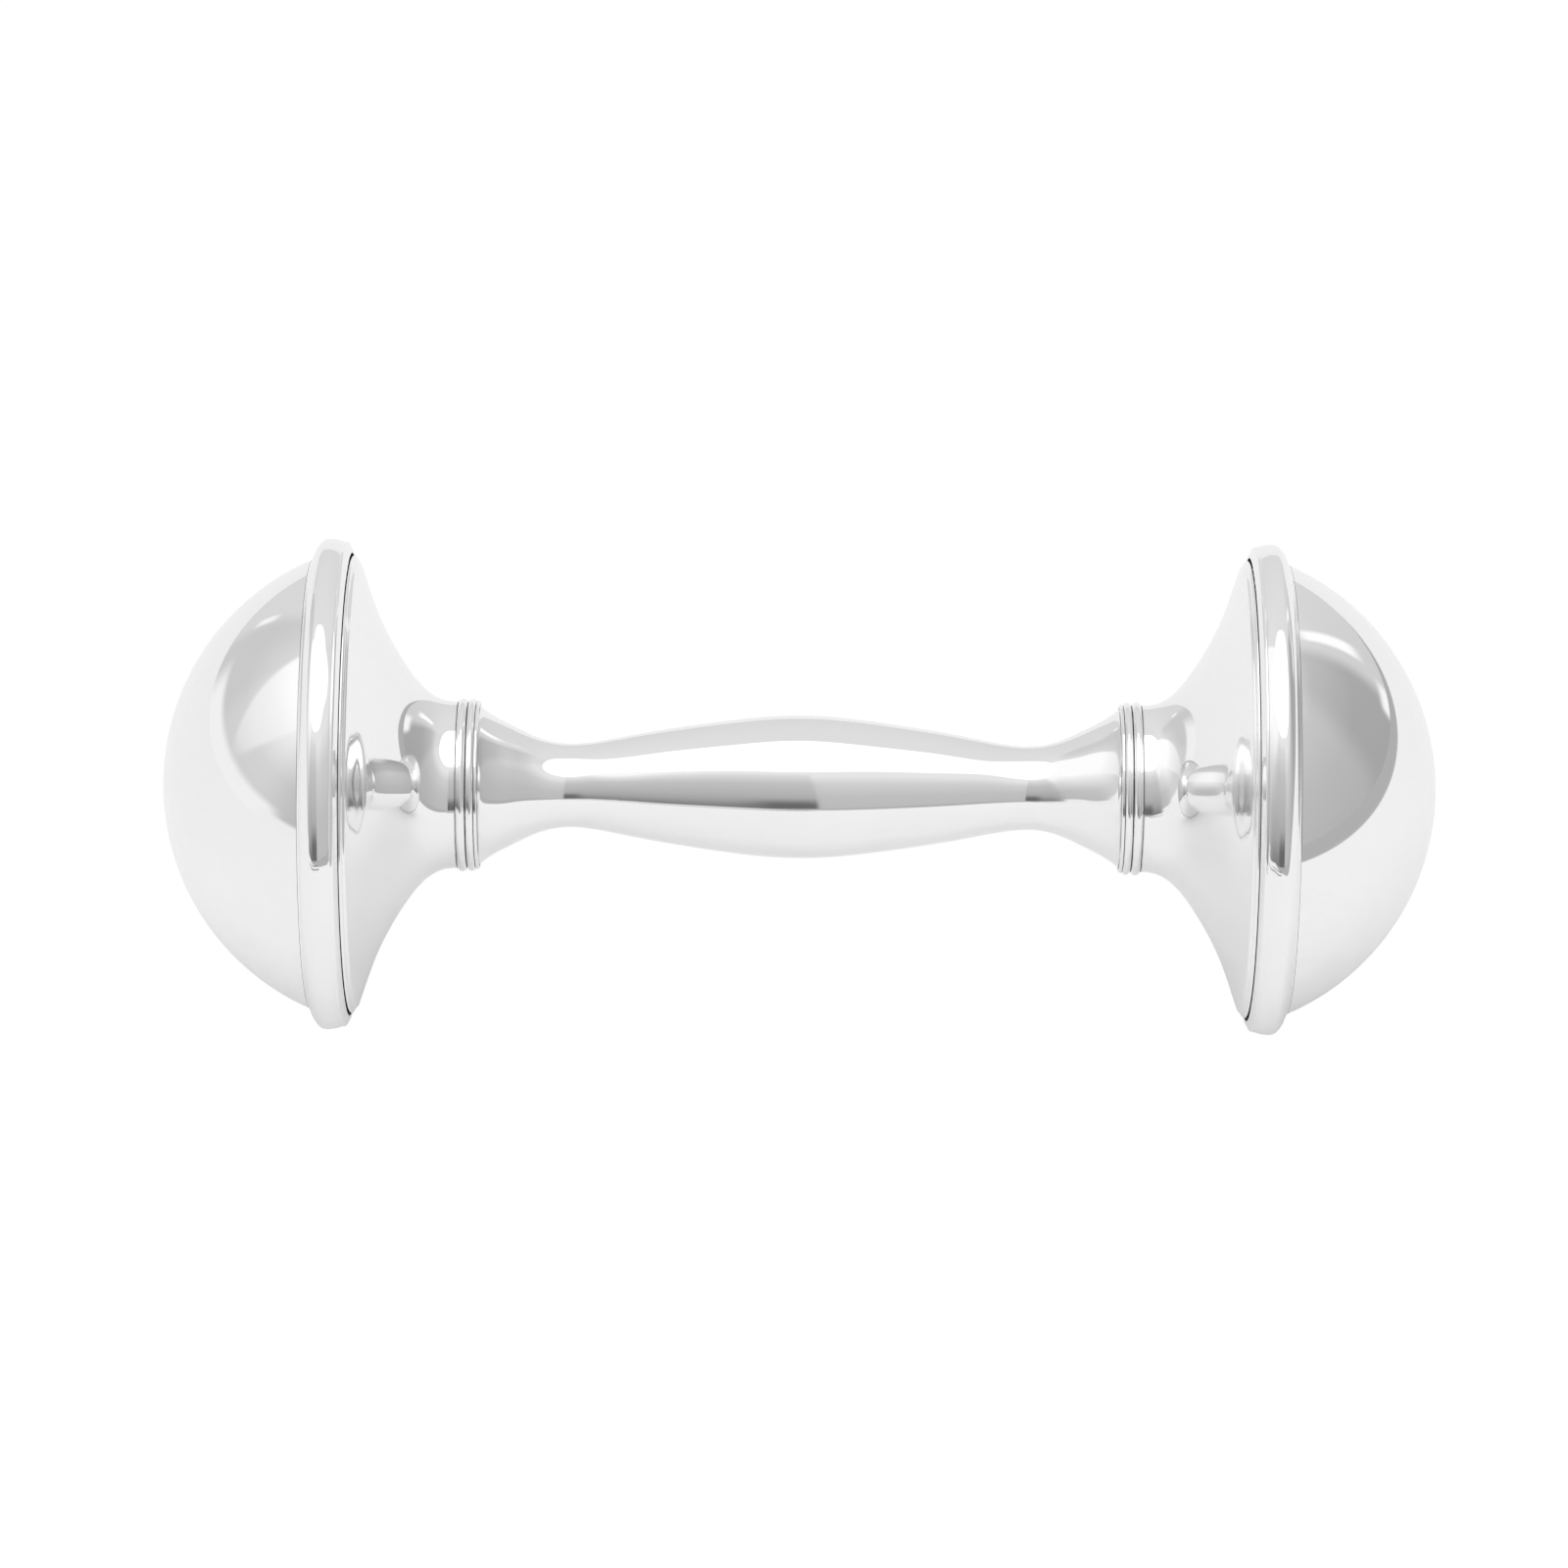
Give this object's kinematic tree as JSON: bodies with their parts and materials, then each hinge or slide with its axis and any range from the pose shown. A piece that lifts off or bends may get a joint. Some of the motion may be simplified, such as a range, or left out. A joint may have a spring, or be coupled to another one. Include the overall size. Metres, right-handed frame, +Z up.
{
  "type": "dumbbell baby rattle",
  "caption": "Polished silver dumbbell rattle: domed heads with moulded rim bands and flared bells, joined by a waisted hollow grip with wire collars; loose shot inside each head.",
  "frame": {"origin": "centre of the grip, on the long axis, midway between the two domes", "axes": "+X along the rattle's long axis towards the right-hand head, +Z up; the rattle lies level on its two rim bands"},
  "size_m": [0.1224, 0.0472, 0.0472],
  "materials": {
    "silver_polished": "polished",
    "silver_wire": "polished",
    "silver_inner": "satin",
    "steel_shot": "satin"
  },
  "bodies": {
    "rattle_shell": {"bell_left": "silver_polished", "bell_right": "silver_polished", "collar_wire_inner_left": "silver_wire", "collar_wire_inner_right": "silver_wire", "collar_wire_outer_left": "silver_wire", "collar_wire_outer_right": "silver_wire", "dome_left": "silver_polished", "dome_right": "silver_polished", "handle_left_half": "silver_polished", "handle_right_half": "silver_polished", "handle_sleeve": "silver_inner", "neck_cup_left": "silver_inner", "neck_cup_right": "silver_inner", "rim_band_left": "silver_polished", "rim_band_right": "silver_polished", "seam_ring_left": "silver_inner", "seam_ring_right": "silver_inner"},
    "pellet_right_1_body": {"pellet_right_1": "steel_shot"},
    "pellet_right_2_body": {"pellet_right_2": "steel_shot"},
    "pellet_right_3_body": {"pellet_right_3": "steel_shot"},
    "pellet_right_4_body": {"pellet_right_4": "steel_shot"},
    "pellet_right_5_body": {"pellet_right_5": "steel_shot"},
    "pellet_right_6_body": {"pellet_right_6": "steel_shot"},
    "pellet_left_1_body": {"pellet_left_1": "steel_shot"},
    "pellet_left_2_body": {"pellet_left_2": "steel_shot"},
    "pellet_left_3_body": {"pellet_left_3": "steel_shot"},
    "pellet_left_4_body": {"pellet_left_4": "steel_shot"},
    "pellet_left_5_body": {"pellet_left_5": "steel_shot"},
    "pellet_left_6_body": {"pellet_left_6": "steel_shot"}
  },
  "joints": [
    {"name": "pellet_right_1_roll", "type": "hinge", "parent": "rattle_shell", "child": "pellet_right_1_body", "pos_m": [0.0459, 0, 0], "axis": [-1, 0, 0], "range_deg": [0, 140]},
    {"name": "pellet_right_2_bounce", "type": "slide", "parent": "rattle_shell", "child": "pellet_right_2_body", "axis": [0, 0, 1], "range_m": [0, 0.03756]},
    {"name": "pellet_right_3_roll", "type": "hinge", "parent": "rattle_shell", "child": "pellet_right_3_body", "pos_m": [0.0459, 0, 0], "axis": [1, 0, 0], "range_deg": [0, 140]},
    {"name": "pellet_right_4_roll", "type": "hinge", "parent": "rattle_shell", "child": "pellet_right_4_body", "pos_m": [0.0492, 0, 0], "axis": [-1, 0, 0], "range_deg": [0, 140]},
    {"name": "pellet_right_5_bounce", "type": "slide", "parent": "rattle_shell", "child": "pellet_right_5_body", "axis": [0, 0, 1], "range_m": [0, 0.03608]},
    {"name": "pellet_right_6_roll", "type": "hinge", "parent": "rattle_shell", "child": "pellet_right_6_body", "pos_m": [0.0492, 0, 0], "axis": [1, 0, 0], "range_deg": [0, 140]},
    {"name": "pellet_left_1_roll", "type": "hinge", "parent": "rattle_shell", "child": "pellet_left_1_body", "pos_m": [-0.0459, 0, 0], "axis": [-1, 0, 0], "range_deg": [0, 140]},
    {"name": "pellet_left_2_bounce", "type": "slide", "parent": "rattle_shell", "child": "pellet_left_2_body", "axis": [0, 0, 1], "range_m": [0, 0.03756]},
    {"name": "pellet_left_3_roll", "type": "hinge", "parent": "rattle_shell", "child": "pellet_left_3_body", "pos_m": [-0.0459, 0, 0], "axis": [1, 0, 0], "range_deg": [0, 140]},
    {"name": "pellet_left_4_roll", "type": "hinge", "parent": "rattle_shell", "child": "pellet_left_4_body", "pos_m": [-0.0492, 0, 0], "axis": [-1, 0, 0], "range_deg": [0, 140]},
    {"name": "pellet_left_5_bounce", "type": "slide", "parent": "rattle_shell", "child": "pellet_left_5_body", "axis": [0, 0, 1], "range_m": [0, 0.03608]},
    {"name": "pellet_left_6_roll", "type": "hinge", "parent": "rattle_shell", "child": "pellet_left_6_body", "pos_m": [-0.0492, 0, 0], "axis": [1, 0, 0], "range_deg": [0, 140]}
  ]
}
